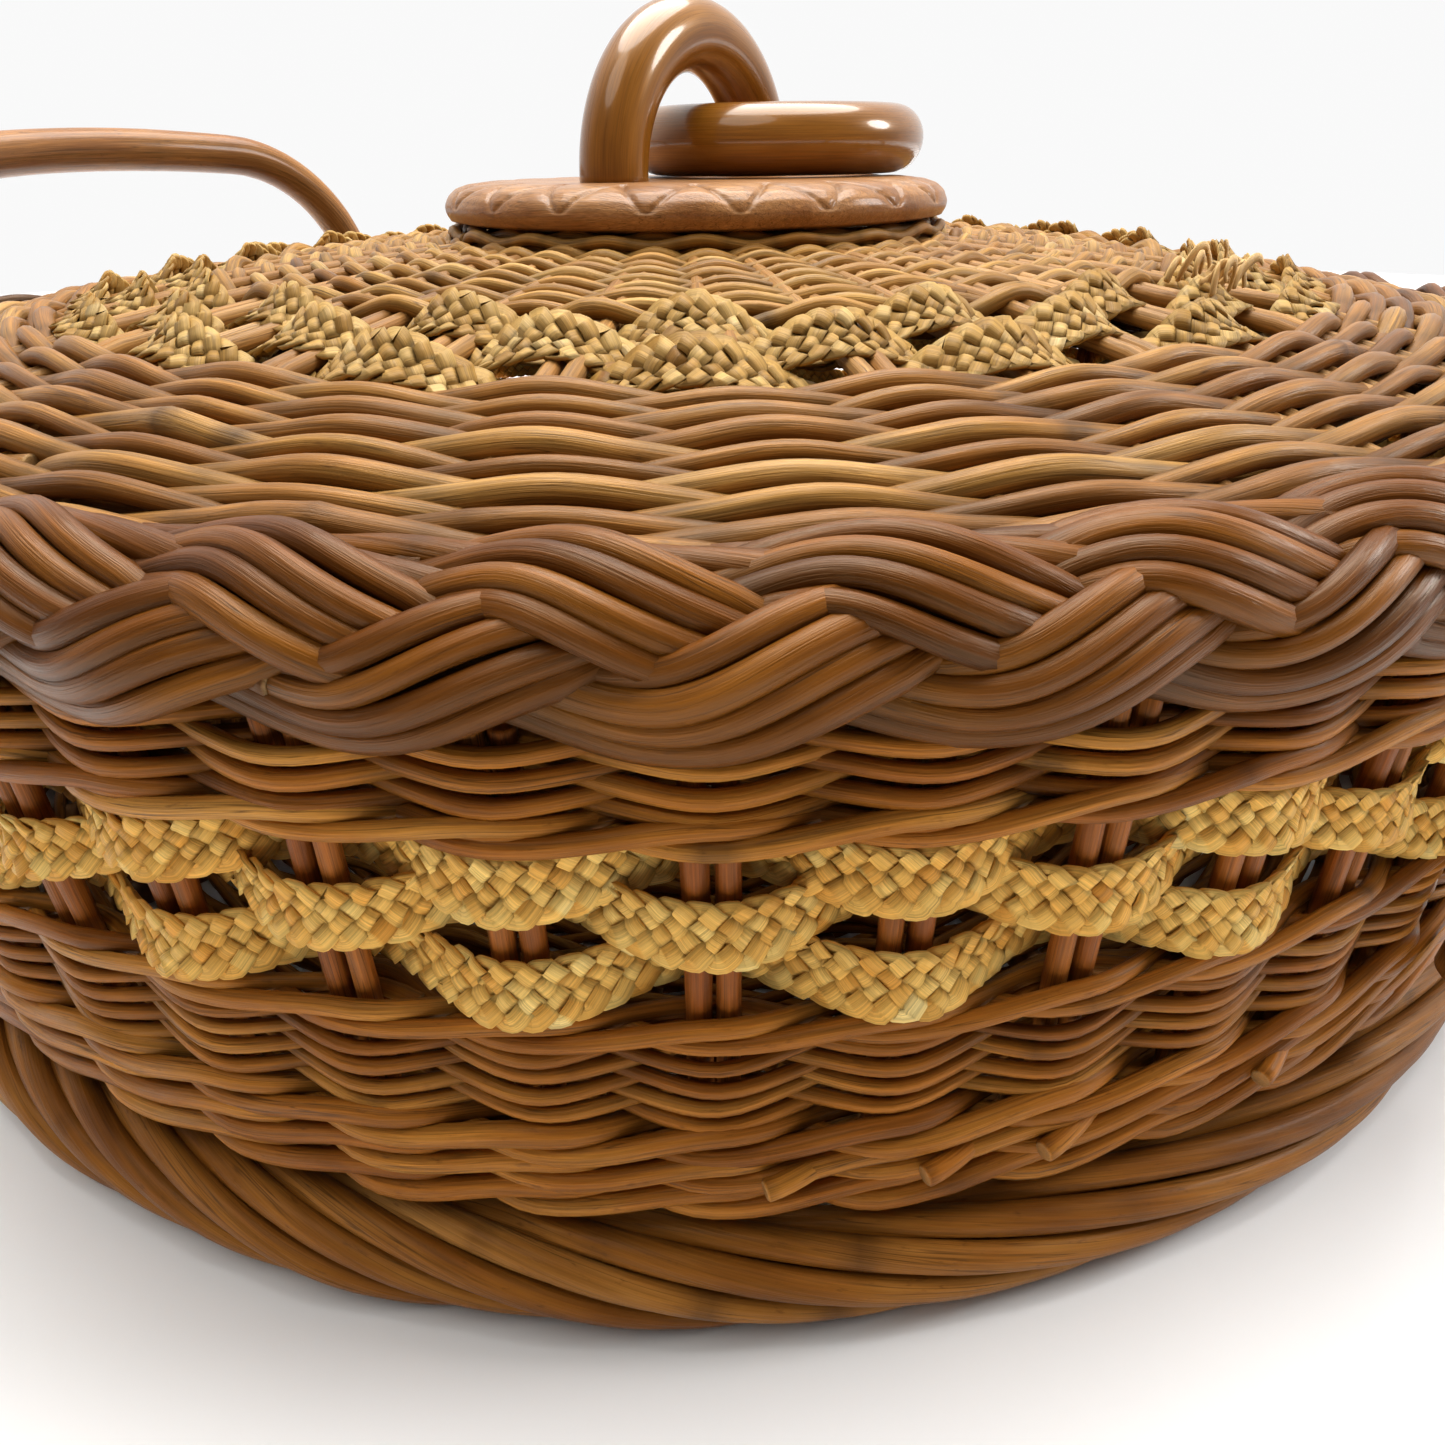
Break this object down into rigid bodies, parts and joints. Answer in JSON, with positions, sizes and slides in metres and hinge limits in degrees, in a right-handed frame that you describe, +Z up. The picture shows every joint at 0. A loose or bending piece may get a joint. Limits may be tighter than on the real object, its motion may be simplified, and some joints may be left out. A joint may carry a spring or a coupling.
{
  "type": "wicker basket",
  "caption": "Round woven basket with a wide domed lid, bands of braided straw, a plaited lid border, bent side handles and a loose ring pull on a carved disc.",
  "frame": {"origin": "centre of the flat ring that the basket stands on, at the floor", "axes": "+Z up, the two side handles on +X and -X"},
  "size_m": [0.3354, 0.31, 0.1405],
  "materials": {
    "willow": "peeled willow rods, varnished honey brown, satin",
    "stakes": "red-brown cane, varnished",
    "straw": "flat braided straw, golden",
    "handle_cane": "smooth bent cane, satin varnish",
    "carved_wood": "carved and stained wood, waxed",
    "lacquered_wood": "turned wood, glossy caramel lacquer"
  },
  "bodies": {
    "basket": {"base_sticks_lower": "stakes", "base_sticks_upper": "stakes", "base_centre_weave": "willow", "base_weave": "willow", "foot_border": "willow", "body_stakes": "stakes", "upsett_wale": "willow", "lower_weave": "willow", "straw_braid_1": "straw", "straw_braid_2": "straw", "straw_braid_3": "straw", "rim_weave": "willow", "rim_border": "willow", "side_handle_right": "handle_cane", "side_handle_left": "handle_cane", "handle_lashings_right": "handle_cane", "handle_lashings_left": "handle_cane", "handle_pegs": "handle_cane"},
    "lid": {"lid_spokes": "stakes", "lid_centre_sticks_lower": "stakes", "lid_centre_sticks_upper": "stakes", "lid_fine_weave": "willow", "lid_straw_braid_1": "straw", "lid_straw_braid_2": "straw", "lid_straw_braid_3": "straw", "lid_coarse_weave": "willow", "lid_plait_border": "willow", "carved_disc": "carved_wood", "lid_under_plate": "carved_wood", "handle_arch": "lacquered_wood", "tenon_pegs": "lacquered_wood"},
    "ring": {"loose_ring": "lacquered_wood"}
  },
  "joints": [
    {"name": "lid_lift", "type": "slide", "parent": "basket", "child": "lid", "axis": [0, 0, 1], "range_m": [0, 0.15]},
    {"name": "ring_swing", "type": "hinge", "parent": "lid", "child": "ring", "pos_m": [-0.0007, -0.0003, 0.11815], "axis": [0.9472, -0.3206, 0], "range_deg": [0, 180]}
  ]
}
